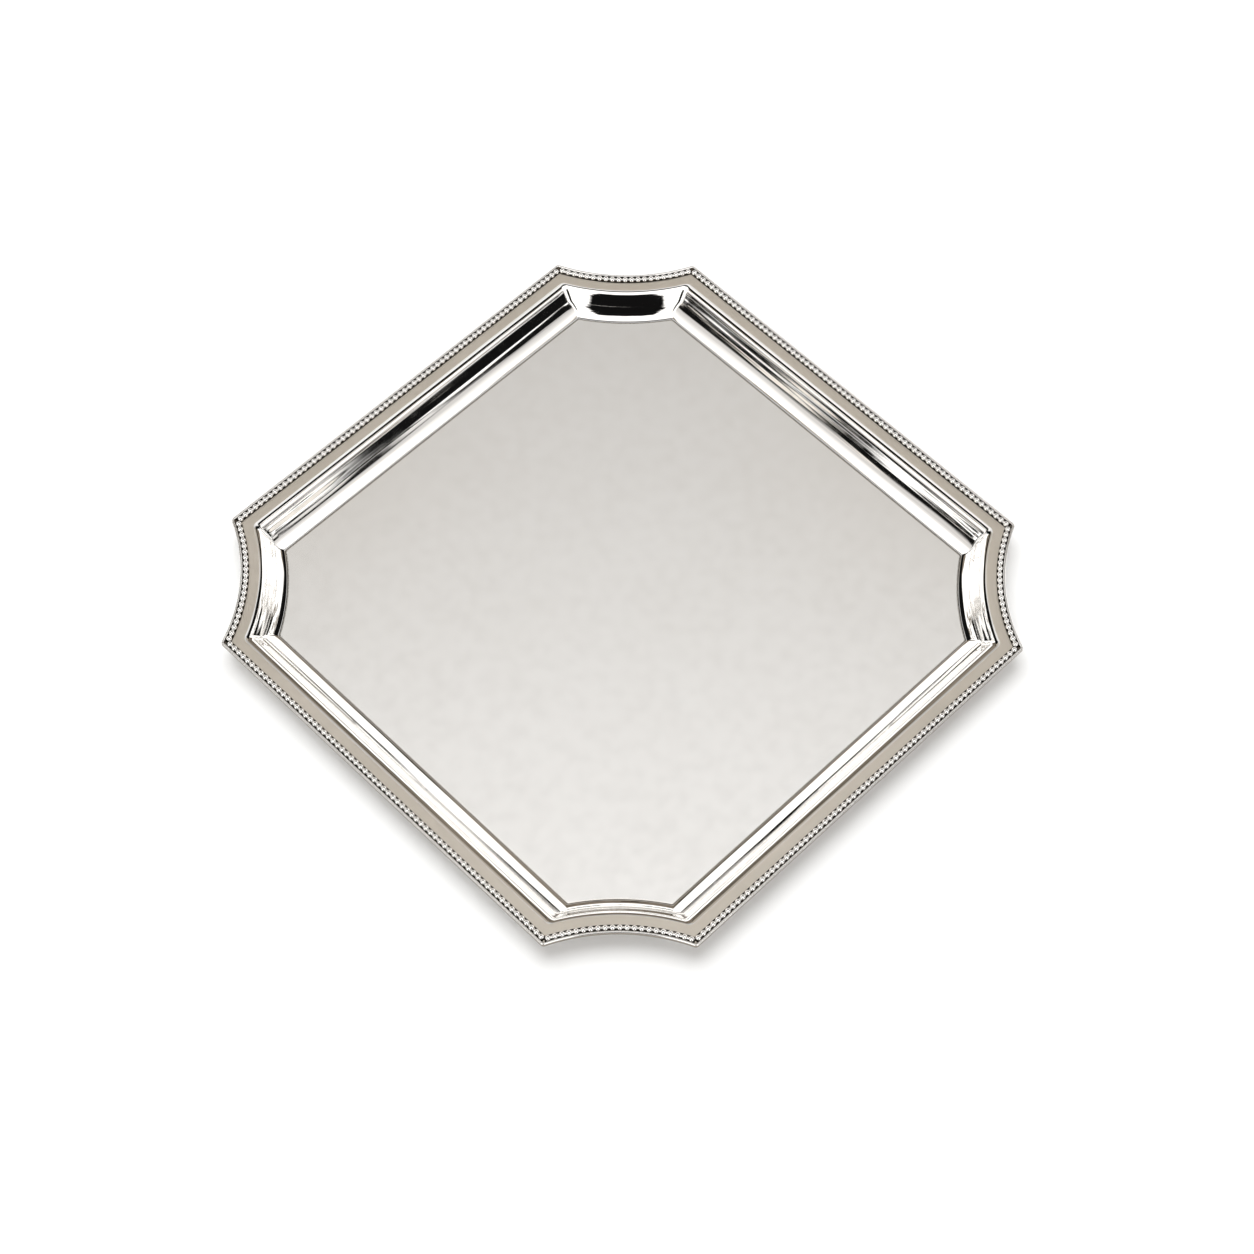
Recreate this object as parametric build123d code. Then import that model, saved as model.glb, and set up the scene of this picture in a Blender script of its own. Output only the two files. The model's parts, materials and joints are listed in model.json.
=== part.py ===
"""A square silver salver with incurved corners: one pressed sheet body, edged with
plain wire and with a row of pearl wire soldered on the rim beside it.

Millimetres. +Z is up, the sides run along X and Y, and the origin is the centre of the
well's underside, which the salver rests on.
"""
from build123d import *

import os
from math import asin, atan2, cos, floor, hypot, radians, sin, sqrt, tan

# ---------------------------------------------------------------- driving dimensions
# The outline, seen from above.
tray_width = 300.0            # across the outer faces of two opposite straight sides
corner_cut = 46.2             # from the square's corner to the end of a straight side
corner_arc_radius = 89.8      # outer face of an incurved corner
point_radius = 1.8            # filed rounding at the eight points of the outline

# The pressed sheet.
sheet_thickness = 1.2
well_depth = 9.75             # from the rim's top face down to the well's floor
flat_band_width = 4.2         # plain flat rim between the pearls and the shoulder
side_shoulder_radius = 7.0    # where the flat rim turns down, on a straight side
corner_shoulder_radius = 4.5  # the same in an incurved corner
side_bouge_width = 15.65      # from the shoulder's start to the well, on a straight side
corner_bouge_width = 12.05    # the same in an incurved corner
side_break_inset = 8.1        # from the shoulder's start to where wall and cove meet
corner_break_inset = 6.2      # the same in an incurved corner
break_drop = 5.1              # from the rim's top face down to where wall and cove meet
side_floor_slope = 26.0       # degrees that a side's cove still falls where it meets the well
corner_floor_slope = 12.0     # the same in an incurved corner

# The plain edge wire around the sheet.
edge_wire_width = 1.15
edge_wire_rise = 1.1          # above the rim's top face
edge_wire_rounding = 0.5      # along both edges of its top

# The pearl wire beside it.
pearl_diameter = 2.8
pearl_side_margin = 0.05      # strip showing on each side of a pearl
pearl_gap = 0.16              # wished-for gap between pearls, evened out along each length
pearl_strip_thickness = 0.45
pearl_centre_height = 0.35    # above the rim's top face
pearl_joint_margin = 0.06     # between an end pearl and its mitred joint

# ---------------------------------------------------------------- sizes that follow
half_width = tray_width / 2
half_straight = half_width - corner_cut
rim_height = well_depth + sheet_thickness
pearl_radius = pearl_diameter / 2
pearl_strip_width = pearl_diameter + 2 * pearl_side_margin
pearl_line_inset = edge_wire_width + pearl_strip_width / 2
pearl_pitch = pearl_diameter + pearl_gap
flat_end_inset = edge_wire_width + pearl_strip_width + flat_band_width

# A corner's arc is centred on the square's diagonal, outside the tray.
half_chord = corner_cut / sqrt(2)
corner_half_angle = asin(half_chord / corner_arc_radius)
chord_distance = (2 * half_width - corner_cut) / sqrt(2)
centre_distance = chord_distance + corner_arc_radius * cos(corner_half_angle)
arc_centre = centre_distance / sqrt(2)

# At each point of the outline, the angle between the straight side and the arc.
point_half_angle = (radians(135) - corner_half_angle) / 2

# Construction allowances, which leave no mark on the finished pieces.
overrun = 20.0                # how far raw lengths run past what trims them
sweep_half_angle = 40.0       # degrees of arc either side of the diagonal before trimming

side_names = ["right", "back", "left", "front"]
corner_names = ["back_right", "back_left", "front_left", "front_right"]


def offset_corner(point, slope_before, slope_after):
    """The corner of the sheet's underside that lies behind a corner of its top profile."""
    mean_slope = (slope_before + slope_after) / 2
    reach = sheet_thickness / cos((slope_after - slope_before) / 2)
    return (point[0] - reach * sin(mean_slope), point[1] - reach * cos(mean_slope))


def rim_and_bouge(at_corner, underside=False):
    """Section of everything below the border's top face, or below its underside.

    X runs inwards from the outer face of the border, Y is height above the well's
    underside. The underside follows the top face at the sheet's thickness.
    """
    bouge_width = corner_bouge_width if at_corner else side_bouge_width
    break_inset = corner_break_inset if at_corner else side_break_inset
    shoulder_radius = corner_shoulder_radius if at_corner else side_shoulder_radius
    floor_slope = radians(corner_floor_slope if at_corner else side_floor_slope)
    # The wall is a straight line from the shoulder's arc to the break.
    break_point = (flat_end_inset + break_inset, rim_height - break_drop)
    well_edge = (flat_end_inset + bouge_width, sheet_thickness)
    below_centre = break_drop - shoulder_radius
    reach = hypot(break_inset, below_centre)
    wall_slope = asin(shoulder_radius / reach) + atan2(below_centre, break_inset)
    # The cove is an arc from the break down to the well.
    chord_slope = atan2(break_point[1] - well_edge[1], well_edge[0] - break_point[0])
    cove_top_slope = 2 * chord_slope - floor_slope

    start = -overrun
    base = 0
    radius = shoulder_radius
    if underside:
        base = -overrun
        radius = shoulder_radius - sheet_thickness
        break_point = offset_corner(break_point, wall_slope, cove_top_slope)
        well_edge = offset_corner(well_edge, floor_slope, 0)
    centre = (flat_end_inset, rim_height - shoulder_radius)
    shoulder_start = (centre[0], centre[1] + radius)
    shoulder_middle = (
        centre[0] + radius * sin(wall_slope / 2),
        centre[1] + radius * cos(wall_slope / 2),
    )
    shoulder_end = (centre[0] + radius * sin(wall_slope), centre[1] + radius * cos(wall_slope))

    with BuildSketch() as section:
        with BuildLine():
            Line((start, shoulder_start[1]), shoulder_start)
            ThreePointArc(shoulder_start, shoulder_middle, shoulder_end)
            Line(shoulder_end, break_point)
            TangentArc(well_edge, break_point, tangent=(-cos(floor_slope), sin(floor_slope)))
            Polyline(well_edge, (well_edge[0], base), (start, base), (start, shoulder_start[1]))
        make_face()
    return section.sketch


def rectangle_section(inner, outer, bottom, top):
    """Plain rectangular section, from inner to outer inset and from bottom to top height."""
    with BuildSketch() as section:
        with Locations(((inner + outer) / 2, (bottom + top) / 2)):
            Rectangle(outer - inner, top - bottom)
    return section.sketch


def along_side(section, index, half_length):
    """Run a section along straight side number index; its X is the inset from the side."""
    upright = Plane(origin=(half_width, 0, 0), x_dir=(-1, 0, 0), z_dir=(0, 1, 0))
    length = extrude(upright * section, amount=half_length, both=True)
    return length.rotate(Axis.Z, 90 * index)


def around_corner(section, index):
    """Turn a section around incurved corner number index; its X is the inset from the arc."""
    upright = Plane(origin=(corner_arc_radius, 0, 0), x_dir=(1, 0, 0), z_dir=(0, -1, 0))
    ring = revolve(upright * section, Axis.Z, revolution_arc=2 * sweep_half_angle)
    ring = ring.rotate(Axis.Z, 180 + 45 - sweep_half_angle)
    return ring.moved(Location((arc_centre, arc_centre, 0))).rotate(Axis.Z, 90 * index)


def outline_face(inset):
    """The tray's outline moved inwards by inset, with sharp points."""
    radius = corner_arc_radius + inset
    side = half_width - inset
    # Where the moved side meets the moved arc, measured along the side.
    end = arc_centre - sqrt(radius ** 2 - (arc_centre - side) ** 2)
    middle = arc_centre - radius / sqrt(2)
    start_points = [(side, -end), (end, side), (-side, end), (-end, -side)]
    end_points = [(side, end), (-end, side), (-side, -end), (end, -side)]
    middles = [(middle, middle), (-middle, middle), (-middle, -middle), (middle, -middle)]
    with BuildSketch() as sketch:
        with BuildLine():
            for index in range(4):
                Line(start_points[index], end_points[index])
                ThreePointArc(end_points[index], middles[index], start_points[(index + 1) % 4])
        make_face()
    return sketch.sketch


def prism(face, bottom, top):
    """Upright block over a face, between two heights."""
    return extrude(face.moved(Location((0, 0, bottom))), amount=top - bottom)


def side_wedge(index):
    """Everything between the mitre planes at the two ends of a straight side."""
    inner_x = half_width - overrun
    inner_y = half_straight - overrun / tan(point_half_angle)
    outer_x = half_width + overrun
    outer_y = half_straight + overrun / tan(point_half_angle)
    with BuildSketch() as sketch:
        with BuildLine():
            Polyline(
                (inner_x, -inner_y), (outer_x, -outer_y),
                (outer_x, outer_y), (inner_x, inner_y), (inner_x, -inner_y),
            )
        make_face()
    return prism(sketch.sketch, -overrun, rim_height + overrun).rotate(Axis.Z, 90 * index)


def corner_wedge(index):
    """Everything between the mitre planes at the two ends of an incurved corner."""
    reach = overrun / tan(point_half_angle)
    side_inner = (half_width - overrun, half_straight - reach)
    side_outer = (half_width + overrun, half_straight + reach)
    with BuildSketch() as sketch:
        with BuildLine():
            Polyline(
                side_inner, side_outer, side_outer[::-1], side_inner[::-1], side_inner,
            )
        make_face()
    return prism(sketch.sketch, -overrun, rim_height + overrun).rotate(Axis.Z, 90 * index)


def tray_body():
    """The pressed sheet: well, bouge and flat rim in one thickness."""
    top_side = rim_and_bouge(at_corner=False)
    top_corner = rim_and_bouge(at_corner=True)
    under_side = rim_and_bouge(at_corner=False, underside=True)
    under_corner = rim_and_bouge(at_corner=True, underside=True)
    sheet_outline = outline_face(edge_wire_width)
    solid = prism(sheet_outline, 0, sheet_thickness)
    trim = prism(sheet_outline, 0, rim_height)
    for index in range(4):
        solid = solid + (along_side(top_side, index, half_width) & trim)
        solid = solid + (around_corner(top_corner, index) & trim)
    for index in range(4):
        solid = solid - along_side(under_side, index, half_width + overrun)
        solid = solid - around_corner(under_corner, index)
    return solid


def edge_wire_section():
    """Square-backed wire that closes the sheet's edge, rounded along its top."""
    bottom = rim_height - sheet_thickness
    top = rim_height + edge_wire_rise
    section = rectangle_section(0, edge_wire_width, bottom, top)
    upper_corners = section.vertices().sort_by(Axis.Y)[-2:]
    return fillet(upper_corners, edge_wire_rounding)


def rounded_outline():
    """Block that trims the edge wires to the outline with its filed points."""
    face = outline_face(0)
    return prism(fillet(face.vertices(), point_radius), 0, rim_height + overrun)


def pearl():
    """One pearl of the wire, flat where it sits on the rim."""
    ball = Pos(0, 0, rim_height + pearl_centre_height) * Sphere(pearl_radius)
    return ball & Pos(0, 0, rim_height + pearl_diameter) * Box(
        2 * pearl_diameter, 2 * pearl_diameter, 2 * pearl_diameter
    )


def even_spread(half_length):
    """Pearl positions along a length of wire, evenly spaced between its two joints."""
    reach = half_length - pearl_radius / sin(point_half_angle) - pearl_joint_margin
    gaps = floor(2 * reach / pearl_pitch)
    return [-reach + 2 * reach * step / gaps for step in range(gaps + 1)]


def pearl_strip_section():
    """Flat strip that carries the pearls."""
    return rectangle_section(
        edge_wire_width, edge_wire_width + pearl_strip_width,
        rim_height, rim_height + pearl_strip_thickness,
    )


def side_pearl_wire(index):
    """A straight length of pearl wire, mitred at both ends."""
    strip = along_side(pearl_strip_section(), index, half_width) & side_wedge(index)
    half_length = half_straight - pearl_line_inset / tan(point_half_angle)
    for distance in even_spread(half_length):
        place = Pos(half_width - pearl_line_inset, distance, 0)
        strip = strip + (place * pearl()).rotate(Axis.Z, 90 * index)
    return strip


def corner_pearl_wire(index):
    """An incurved length of pearl wire, mitred at both ends."""
    strip = around_corner(pearl_strip_section(), index) & corner_wedge(index)
    radius = corner_arc_radius + pearl_line_inset
    # The mitre plane leaves the outline's point and crosses the pearl line here.
    point = (half_width, half_straight)
    heading = (-1.0, -1.0 / tan(point_half_angle))
    from_centre = (point[0] - arc_centre, point[1] - arc_centre)
    square_term = heading[0] ** 2 + heading[1] ** 2
    linear_term = heading[0] * from_centre[0] + heading[1] * from_centre[1]
    constant = from_centre[0] ** 2 + from_centre[1] ** 2 - radius ** 2
    step = (-linear_term + sqrt(linear_term ** 2 - square_term * constant)) / square_term
    joint = (from_centre[0] + step * heading[0], from_centre[1] + step * heading[1])
    half_angle = abs(atan2(joint[1], joint[0]) + radians(135))
    for distance in even_spread(radius * half_angle):
        around = radians(225) + distance / radius
        place = Pos(arc_centre + radius * cos(around), arc_centre + radius * sin(around), 0)
        strip = strip + (place * pearl()).rotate(Axis.Z, 90 * index)
    return strip


def build():
    """Every piece of the salver by node name."""
    pieces = {"tray_body": tray_body()}
    wire = edge_wire_section()
    outline = rounded_outline()
    for index, name in enumerate(side_names):
        length = along_side(wire, index, half_width) & side_wedge(index) & outline
        pieces["edge_wire_" + name] = length
        pieces["pearl_wire_" + name] = side_pearl_wire(index)
    for index, name in enumerate(corner_names):
        length = around_corner(wire, index) & corner_wedge(index) & outline
        pieces["corner_edge_wire_" + name] = length
        pieces["corner_pearl_wire_" + name] = corner_pearl_wire(index)
    return pieces


os.makedirs("parts", exist_ok=True)
for node, shape in build().items():
    export_step(shape, os.path.join("parts", node + ".step"))
    print(node, round(shape.volume, 2))
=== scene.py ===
"""Dress the square silver salver: pressed sheet, edge wire, pearl border and a small studio.

Metres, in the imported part's frame: +Z is up, the straight sides run along X and Y, and the
origin is under the centre of the well, on the surface that the salver rests on.
"""

import json
import logging
from dataclasses import dataclass, field, replace
from enum import Enum
from math import acos, asin, atan2, cos, floor, hypot, pi, radians, sin, sqrt, tan
from typing import Sequence

import bmesh
import bpy
from mathutils import Matrix, Vector, noise


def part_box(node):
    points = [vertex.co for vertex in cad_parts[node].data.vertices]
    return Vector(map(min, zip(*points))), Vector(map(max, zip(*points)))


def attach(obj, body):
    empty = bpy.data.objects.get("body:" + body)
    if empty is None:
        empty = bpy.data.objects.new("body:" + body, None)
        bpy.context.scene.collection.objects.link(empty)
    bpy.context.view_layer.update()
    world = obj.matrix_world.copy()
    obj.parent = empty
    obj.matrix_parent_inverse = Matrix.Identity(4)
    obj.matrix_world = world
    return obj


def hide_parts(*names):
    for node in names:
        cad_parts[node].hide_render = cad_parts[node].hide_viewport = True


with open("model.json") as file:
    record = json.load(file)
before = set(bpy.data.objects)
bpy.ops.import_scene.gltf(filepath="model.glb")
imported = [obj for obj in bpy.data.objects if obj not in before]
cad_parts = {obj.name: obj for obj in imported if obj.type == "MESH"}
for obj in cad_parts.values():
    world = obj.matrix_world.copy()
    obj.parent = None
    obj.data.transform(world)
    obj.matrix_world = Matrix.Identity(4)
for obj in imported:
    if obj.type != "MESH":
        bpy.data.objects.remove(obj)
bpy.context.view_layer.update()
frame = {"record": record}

LOG = logging.getLogger("salver")
MM = 0.001
Point = tuple[float, float]
Colour = tuple[float, float, float]


class Side(Enum):
    """The four straight sides, each with its quarter turn from the right-hand side."""

    RIGHT = 0
    BACK = 1
    LEFT = 2
    FRONT = 3


class Corner(Enum):
    """The four incurved corners, each with its quarter turn from the back right one."""

    BACK_RIGHT = 0
    BACK_LEFT = 1
    FRONT_LEFT = 2
    FRONT_RIGHT = 3


class Zone(Enum):
    """Which finish a face of the pressed sheet takes."""

    SATIN = 0
    BOUGE = 1
    WELL = 2
    UNDERSIDE = 3


def turned(point: Point, quarter_turns: int) -> Point:
    """Turn a point of the plan about the centre by quarter turns, anticlockwise."""
    x, y = point
    for _ in range(quarter_turns % 4):
        x, y = -y, x
    return x, y


def on_arc(centre: Point, radius: float, angle: float) -> Point:
    """The point of a circle at an angle."""
    return centre[0] + radius * cos(angle), centre[1] + radius * sin(angle)


@dataclass(frozen=True)
class Plan:
    """The salver's outline seen from above, and every line that runs parallel to it.

    Attributes:
        half_width: From the centre to the outer face of a straight side.
        corner_cut: From the square's corner to the end of a straight side.
        arc_radius: Outer face of an incurved corner.
        point_rounding: Filed rounding at the eight points.
    """

    half_width: float
    corner_cut: float = 46.2 * MM
    arc_radius: float = 89.8 * MM
    point_rounding: float = 1.8 * MM

    @property
    def half_arc(self) -> float:
        """Half the angle that a corner's arc turns through."""
        return asin(self.corner_cut / sqrt(2) / self.arc_radius)

    @property
    def arc_centre(self) -> float:
        """Both coordinates of the first corner's arc centre, which lies outside the salver."""
        chord = (2 * self.half_width - self.corner_cut) / sqrt(2)
        return (chord + self.arc_radius * cos(self.half_arc)) / sqrt(2)

    @property
    def half_point(self) -> float:
        """Half the angle between a straight side and the arc where they meet."""
        return (radians(135) - self.half_arc) / 2

    def joint(self, side_inset: float, corner_inset: float,
              rounding: float) -> tuple[Point, float, float]:
        """Where a line inside the outline turns from the right-hand side into the corner.

        Args:
            side_inset: Distance of the line from the side's outer face.
            corner_inset: Distance of the line from the arc's outer face.
            rounding: Radius of the turn.

        Returns:
            The centre of the turn, and the angles at which it starts and ends.
        """
        centre = self.arc_centre
        x = self.half_width - side_inset - rounding
        reach = self.arc_radius + corner_inset + rounding
        y = centre - sqrt(reach ** 2 - (centre - x) ** 2)
        return (x, y), 0.0, atan2(centre - y, centre - x)

    def ring(self, side_inset: float, corner_inset: float, rounding: float,
             steps: "RingSteps") -> list[Point]:
        """A closed line inside the outline, anticlockwise from the middle of the right side.

        Args:
            side_inset: Distance from the straight sides' outer face.
            corner_inset: Distance from the arcs' outer face.
            rounding: Radius where side and arc meet.
            steps: How many segments each stretch gets.

        Returns:
            The points, without repeating the first one.
        """
        turn_centre, start, end = self.joint(side_inset, corner_inset, rounding)
        side_x = self.half_width - side_inset
        radius = self.arc_radius + corner_inset
        centre = (self.arc_centre, self.arc_centre)
        eighth = [(side_x, turn_centre[1] * i / steps.side) for i in range(steps.side)]
        for i in range(steps.turn):
            eighth.append(on_arc(turn_centre, rounding, start + (end - start) * i / steps.turn))
        sweep = radians(45) - end
        for i in range(steps.arc):
            eighth.append(on_arc(centre, radius, pi + end + sweep * i / steps.arc))
        middle = on_arc(centre, radius, radians(225))
        mirrored = [(y, x) for x, y in reversed(eighth[1:])]
        quarter = eighth + [middle] + mirrored
        return [turned(p, turn) for turn in range(4) for p in quarter]


@dataclass(frozen=True)
class RingSteps:
    """Segments along half a side, around a point and along half a corner's arc."""

    side: int = 28
    turn: int = 10
    arc: int = 20


@dataclass(frozen=True)
class Section:
    """The bouge's profile where it is cut across, from the flat rim down to the well.

    A shoulder turns down into a straight wall, and a shallow cove runs from the break at the
    wall's foot to the crease around the well. Insets are measured from the outline's outer
    face, heights from the resting surface.
    """

    flat_end: float
    rim_height: float
    shoulder_radius: float
    break_point: Point
    well_edge: Point
    floor_slope: float
    crease_radius: float

    @property
    def wall_slope(self) -> float:
        """Slope of the straight wall between the shoulder and the break."""
        across = self.break_point[0] - self.flat_end
        down = self.rim_height - self.break_point[1] - self.shoulder_radius
        return asin(self.shoulder_radius / hypot(across, down)) + atan2(down, across)

    @property
    def cove_top_slope(self) -> float:
        """Slope with which the cove leaves the break."""
        across = self.well_edge[0] - self.break_point[0]
        down = self.break_point[1] - self.well_edge[1]
        return 2 * atan2(down, across) - self.floor_slope

    @property
    def cove_radius(self) -> float:
        """Radius of the cove's arc."""
        fall = self.break_point[1] - self.well_edge[1]
        return fall / (cos(self.floor_slope) - cos(self.cove_top_slope))

    def on_shoulder(self, slope: float) -> Point:
        """The point of the shoulder that has a slope."""
        radius = self.shoulder_radius
        return self.flat_end + radius * sin(slope), self.rim_height - radius * (1 - cos(slope))

    def on_cove(self, slope: float) -> Point:
        """The point of the cove that has a slope."""
        radius, low = self.cove_radius, self.floor_slope
        return (
            self.well_edge[0] - radius * (sin(slope) - sin(low)),
            self.well_edge[1] + radius * (cos(low) - cos(slope)),
        )

    def inset(self, height: float) -> float:
        """Distance from the outer face at which the profile passes a height."""
        if height >= self.on_shoulder(self.wall_slope)[1]:
            slope = acos(max(-1.0, 1 - (self.rim_height - height) / self.shoulder_radius))
            return self.flat_end + self.shoulder_radius * sin(slope)
        if height >= self.break_point[1]:
            return self.break_point[0] - (height - self.break_point[1]) / tan(self.wall_slope)
        rise = height - self.well_edge[1]
        if rise >= self.crease_radius * (1 - cos(self.floor_slope)):
            return self.on_cove(acos(cos(self.floor_slope) - rise / self.cove_radius))[0]
        slope = acos(min(1.0, 1 - rise / self.crease_radius))
        return self.crease_end - self.crease_radius * sin(slope)

    @property
    def crease_end(self) -> float:
        """Inset at which the flat well begins."""
        return self.well_edge[0] + self.crease_radius * tan(self.floor_slope / 2)

    def key_heights(self, steps: "BougeSteps") -> list[float]:
        """Heights at which the profile needs a point, from the rim down to the well.

        Args:
            steps: How many points each stretch gets.

        Returns:
            The heights, not in order.
        """
        wall, top, low = self.wall_slope, self.cove_top_slope, self.floor_slope
        foot, floor_height = self.break_point[1], self.well_edge[1]
        found = [self.on_shoulder(wall * i / steps.shoulder)[1] for i in range(steps.shoulder + 1)]
        start = found[-1]
        found += [start + (foot - start) * i / steps.wall for i in range(1, steps.wall)]
        found += [foot + steps.guard, foot, foot - steps.guard]
        found += [self.on_cove(top + (low - top) * i / steps.cove)[1] for i in range(1, steps.cove)]
        for i in range(steps.crease):
            slope = low * (1 - i / steps.crease)
            found.append(floor_height + self.crease_radius * (1 - cos(slope)))
        return found

    def underside(self, thickness: float) -> "Section":
        """The profile of the sheet's other face, one thickness below this one."""
        return Section(
            self.flat_end,
            self.rim_height - thickness,
            self.shoulder_radius - thickness,
            behind(self.break_point, self.wall_slope, self.cove_top_slope, thickness),
            behind(self.well_edge, self.floor_slope, 0.0, thickness),
            self.floor_slope,
            self.crease_radius + thickness,
        )


def behind(point: Point, before: float, after: float, thickness: float) -> Point:
    """The point of the sheet's other face that lies behind a corner of its profile."""
    mean = (before + after) / 2
    reach = thickness / cos((after - before) / 2)
    return point[0] - reach * sin(mean), point[1] - reach * cos(mean)


@dataclass(frozen=True)
class BougeSteps:
    """Segments across the shoulder, the wall, the cove and the crease."""

    shoulder: int = 20
    wall: int = 8
    cove: int = 12
    crease: int = 6
    guard: float = 0.05 * MM

    @property
    def least_drop(self) -> float:
        """Least fall between two lines of the bouge."""
        return self.guard / 5


UNDER_STEPS = BougeSteps(shoulder=8, wall=3, cove=5, crease=4)


class Graph:
    """A node tree with short ways to add and link nodes."""

    def __init__(self, tree: bpy.types.NodeTree) -> None:
        """Wrap a node tree."""
        self.tree = tree

    def add(self, kind: str, inputs: dict | None = None, **settings: object) -> bpy.types.Node:
        """Add a node.

        Args:
            kind: The node's type name in Blender.
            inputs: Values or output sockets, by the input's name or number.
            **settings: Properties of the node.

        Returns:
            The new node.
        """
        node = self.tree.nodes.new(kind)
        for name, value in settings.items():
            setattr(node, name, value)
        for name, value in (inputs or {}).items():
            self.set(node.inputs[name], value)
        return node

    def shape(self, kind: str, inputs: dict | None = None, **settings: object) -> bpy.types.NodeSocket:
        """Add a node and give its first output."""
        return self.add(kind, inputs, **settings).outputs[0]

    def set(self, socket: bpy.types.NodeSocket, value: object) -> None:
        """Link an output socket to an input, or give the input a value."""
        if isinstance(value, bpy.types.NodeSocket):
            self.tree.links.new(value, socket)
        else:
            socket.default_value = value

    def math(self, operation: str, *values: object) -> bpy.types.NodeSocket:
        """The result of a Math node of the tree's kind."""
        return self.add("ShaderNodeMath", dict(enumerate(values)), operation=operation).outputs[0]

    def smooth(self, value: object, low: float, high: float,
               start: float = 0.0, end: float = 1.0) -> bpy.types.NodeSocket:
        """A value run smoothly from start to end as it goes from low to high."""
        node = self.add(
            "ShaderNodeMapRange",
            {"Value": value, "From Min": low, "From Max": high, "To Min": start, "To Max": end},
            interpolation_type="SMOOTHSTEP",
        )
        return node.outputs["Result"]

    def mix(self, share: object, first: object, second: object) -> bpy.types.NodeSocket:
        """A colour between two others."""
        node = self.add("ShaderNodeMix", data_type="RGBA")
        for name, value in (("Factor_Float", share), ("A_Color", first), ("B_Color", second)):
            self.set(next(s for s in node.inputs if s.identifier == name), value)
        return next(s for s in node.outputs if s.identifier == "Result_Color")


def rgba(colour: Colour) -> tuple[float, float, float, float]:
    """A colour with full alpha."""
    return (*colour, 1.0)


def node_material(name: str) -> tuple[bpy.types.Material, Graph, bpy.types.Node]:
    """Start a node material.

    Args:
        name: The material's name.

    Returns:
        The material, its graph and its shader.
    """
    material = bpy.data.materials.new(name)
    material.use_nodes = True
    return material, Graph(material.node_tree), material.node_tree.nodes["Principled BSDF"]


@dataclass(frozen=True)
class SilverFinish:
    """Polished or satin silver, worn and tarnished a little, with painted shade darkening its crevices.

    Attributes:
        name: The material's name.
        colour: Reflection colour of clean metal.
        tarnish_and_shade: Colour of the faint tarnished clouds, and of the painted shade in crevices.
        roughness: Mean roughness.
        roughness_spread: How far the roughness wanders either way.
        cloud: Share of tarnish in the faint clouds.
        scratch: Height of the fine polishing scratches.
        grain: Height of a satin finish's grain.
        crevice_height: Heights between which the painted shade low on a piece fades out going up, or
            None to use the mesh's crevice value.
        cloud_scale: Faint tarnished clouds in a metre.
        smudge_scale: Smudges in a metre.
        scratch_scale: Scratches in a metre, along them and across them.
        scratch_turn: Direction of the scratches.
        grain_scale: Grains of the satin in a metre.
        crevice_wear: What a crevice adds to the smudges.
    """

    name: str
    colour: Colour
    tarnish_and_shade: Colour
    roughness: float
    roughness_spread: float
    cloud: float
    scratch: float = 0.0
    grain: float = 0.0
    crevice_height: tuple[float, float] | None = None
    cloud_scale: float = 18.0
    smudge_scale: float = 140.0
    scratch_scale: tuple[float, float] = (160.0, 2600.0)
    scratch_turn: float = radians(38)
    grain_scale: float = 4200.0
    crevice_wear: float = 0.4

    def material(self) -> bpy.types.Material:
        """Build the node material.

        Returns:
            The material, all procedural.
        """
        material, graph, shader = node_material(self.name)
        place = graph.add("ShaderNodeTexCoord").outputs["Object"]
        clouds = self.noise(graph, place, self.cloud_scale, detail=3.0)
        smudges = self.noise(graph, place, self.smudge_scale, detail=4.0)
        tarnish_and_shade_share = graph.math("MULTIPLY", graph.smooth(clouds, low=0.35, high=0.75), self.cloud)
        # The crevice value is painted shade: a groove or a band low on the piece is darkened to the
        # tarnish_and_shade colour, while the clouds are real tarnished patches.
        crevice = graph.add("ShaderNodeAttribute", attribute_name="crevice").outputs["Fac"]
        if self.crevice_height:
            height = graph.add("ShaderNodeSeparateXYZ", {"Vector": place}).outputs["Z"]
            low, high = self.crevice_height
            crevice = graph.smooth(height, low, high, 1.0, 0.0)
        tarnish_and_shade_share = graph.math("MAXIMUM", tarnish_and_shade_share, crevice)
        graph.set(shader.inputs["Base Color"], graph.mix(tarnish_and_shade_share, rgba(self.colour), rgba(self.tarnish_and_shade)))
        worn = graph.math("ADD", smudges, graph.math("MULTIPLY", crevice, self.crevice_wear))
        rough = graph.smooth(
            worn, low=0.25, high=0.8,
            start=max(self.roughness - self.roughness_spread, 0.0),
            end=self.roughness + self.roughness_spread,
        )
        graph.set(shader.inputs["Roughness"], rough)
        shader.inputs["Metallic"].default_value = 1.0
        normal = None
        if self.scratch:
            stretched = graph.shape("ShaderNodeMapping", {
                "Vector": place, "Rotation": (0.0, 0.0, self.scratch_turn),
                "Scale": (*self.scratch_scale, 1.0),
            })
            lines = self.noise(graph, stretched, 1.0, detail=2.0)
            normal = self.bump(graph, lines, self.scratch, normal)
        if self.grain:
            grains = self.noise(graph, place, self.grain_scale, detail=2.0)
            normal = self.bump(graph, grains, self.grain, normal)
        if normal is not None:
            graph.set(shader.inputs["Normal"], normal)
        return material

    @staticmethod
    def noise(graph: Graph, place: object, scale: float, detail: float) -> bpy.types.NodeSocket:
        """A noise value over the surface."""
        return graph.add(
            "ShaderNodeTexNoise", {"Vector": place, "Scale": scale, "Detail": detail}
        ).outputs["Fac"]

    @staticmethod
    def bump(graph: Graph, height: object, distance: float, normal: object) -> bpy.types.NodeSocket:
        """Add a bump of a height in metres to a chain of bumps."""
        node = graph.add(
            "ShaderNodeBump", {"Height": height, "Distance": distance, "Strength": 1.0}
        )
        if normal is not None:
            graph.set(node.inputs["Normal"], normal)
        return node.outputs["Normal"]


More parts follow.
